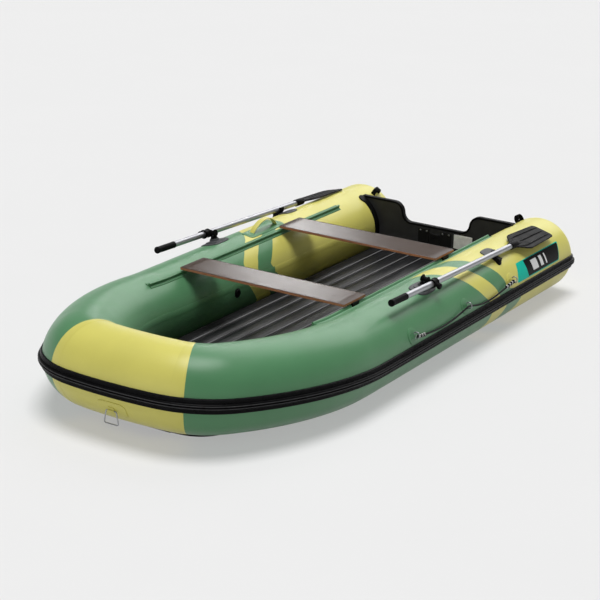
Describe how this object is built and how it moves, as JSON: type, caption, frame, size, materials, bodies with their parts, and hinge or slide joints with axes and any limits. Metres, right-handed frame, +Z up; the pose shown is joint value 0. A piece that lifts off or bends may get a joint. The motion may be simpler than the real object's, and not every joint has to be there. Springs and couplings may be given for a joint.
{
  "type": "inflatable motor dinghy",
  "caption": "Two-tone inflatable dinghy with a U-shaped air tube, ribbed air floor, notched transom, plank thwarts, stowed oars in swivel oarlocks, rub rail and lifelines.",
  "frame": {"origin": "on the ground under the middle of the overall length and beam", "axes": "+X to the bow, +Y to port, +Z up"},
  "size_m": [3.3931, 1.659, 0.4856],
  "materials": {
    "aluminium": "drawn tube",
    "black_plastic": "satin",
    "black_pvc": "matt coated fabric",
    "black_rubber": "satin",
    "cord": "braided",
    "green_pvc": "satin coated fabric",
    "grey_plastic": "satin",
    "plate": "blank white plate",
    "steel": "polished wire",
    "thwart_ply": "film-faced plywood",
    "yellow_pvc": "satin coated fabric"
  },
  "bodies": {
    "hull": {"aft_bench": "thwart_ply", "aft_bench_clips": "black_plastic", "air_floor": "black_pvc", "bow_ring": "steel", "bow_ring_patch": "yellow_pvc", "bow_rub_rail": "black_rubber", "bow_tube": "yellow_pvc", "capacity_plate": "plate", "carry_handle": "yellow_pvc", "carry_handle_patch": "green_pvc", "drain_plug": "black_plastic", "forward_bench": "thwart_ply", "forward_bench_clips": "black_plastic", "hull_bottom": "black_pvc", "inner_motor_pad": "black_plastic", "outer_motor_pad": "black_plastic", "port_aft_rub_rail": "black_rubber", "port_aft_tube": "yellow_pvc", "port_air_valve": "black_plastic", "port_bench_rail": "green_pvc", "port_forward_rub_rail": "black_rubber", "port_forward_tube": "green_pvc", "port_lifeline": "cord", "port_lifeline_knots": "cord", "port_lifeline_rings": "steel", "port_oar_cradle": "black_plastic", "port_oarlock_base": "grey_plastic", "port_ring_patches": "green_pvc", "port_stern_handle": "black_plastic", "starboard_aft_rub_rail": "black_rubber", "starboard_aft_tube": "yellow_pvc", "starboard_air_valve": "black_plastic", "starboard_bench_rail": "green_pvc", "starboard_forward_rub_rail": "black_rubber", "starboard_forward_tube": "green_pvc", "starboard_lifeline": "cord", "starboard_lifeline_knots": "cord", "starboard_lifeline_rings": "steel", "starboard_oar_cradle": "black_plastic", "starboard_oarlock_base": "grey_plastic", "starboard_ring_patches": "green_pvc", "starboard_stern_handle": "black_plastic", "transom_board": "black_plastic", "transom_flanges": "black_pvc"},
    "port_swivel": {"port_oarlock_swivel": "black_plastic"},
    "port_collar": {"port_oar_collar": "black_plastic"},
    "port_oar": {"port_oar_shaft": "aluminium", "port_oar_grip": "black_plastic", "port_oar_blade": "black_plastic"},
    "starboard_swivel": {"starboard_oarlock_swivel": "black_plastic"},
    "starboard_collar": {"starboard_oar_collar": "black_plastic"},
    "starboard_oar": {"starboard_oar_shaft": "aluminium", "starboard_oar_grip": "black_plastic", "starboard_oar_blade": "black_plastic"}
  },
  "joints": [
    {"name": "port_oar_swing", "type": "hinge", "parent": "hull", "child": "port_swivel", "pos_m": [-0.10425, 0.64435, 0.41284], "axis": [0, -0.2588, -0.9659], "range_deg": [0, 110]},
    {"name": "port_oar_lift", "type": "hinge", "parent": "port_swivel", "child": "port_collar", "pos_m": [-0.10425, 0.70585, 0.44917], "axis": [0, 0.9659, -0.2588], "range_deg": [0, 6]},
    {"name": "port_oar_feather", "type": "hinge", "parent": "port_collar", "child": "port_oar", "pos_m": [-0.10425, 0.70585, 0.44917], "axis": [-0.9995, -0.0086, -0.032], "range_deg": [0, 90]},
    {"name": "starboard_oar_swing", "type": "hinge", "parent": "hull", "child": "starboard_swivel", "pos_m": [-0.10425, -0.64435, 0.41284], "axis": [0, -0.2588, 0.9659], "range_deg": [0, 110]},
    {"name": "starboard_oar_lift", "type": "hinge", "parent": "starboard_swivel", "child": "starboard_collar", "pos_m": [-0.10425, -0.70585, 0.44917], "axis": [0, 0.9659, 0.2588], "range_deg": [0, 6]},
    {"name": "starboard_oar_feather", "type": "hinge", "parent": "starboard_collar", "child": "starboard_oar", "pos_m": [-0.10425, -0.70585, 0.44917], "axis": [0.9995, -0.0086, 0.032], "range_deg": [0, 90]}
  ],
  "couplings": [
    {"joint": "port_oar_feather", "follows": "port_oar_swing", "ratio": 0.818},
    {"joint": "starboard_oar_feather", "follows": "starboard_oar_swing", "ratio": 0.818}
  ]
}
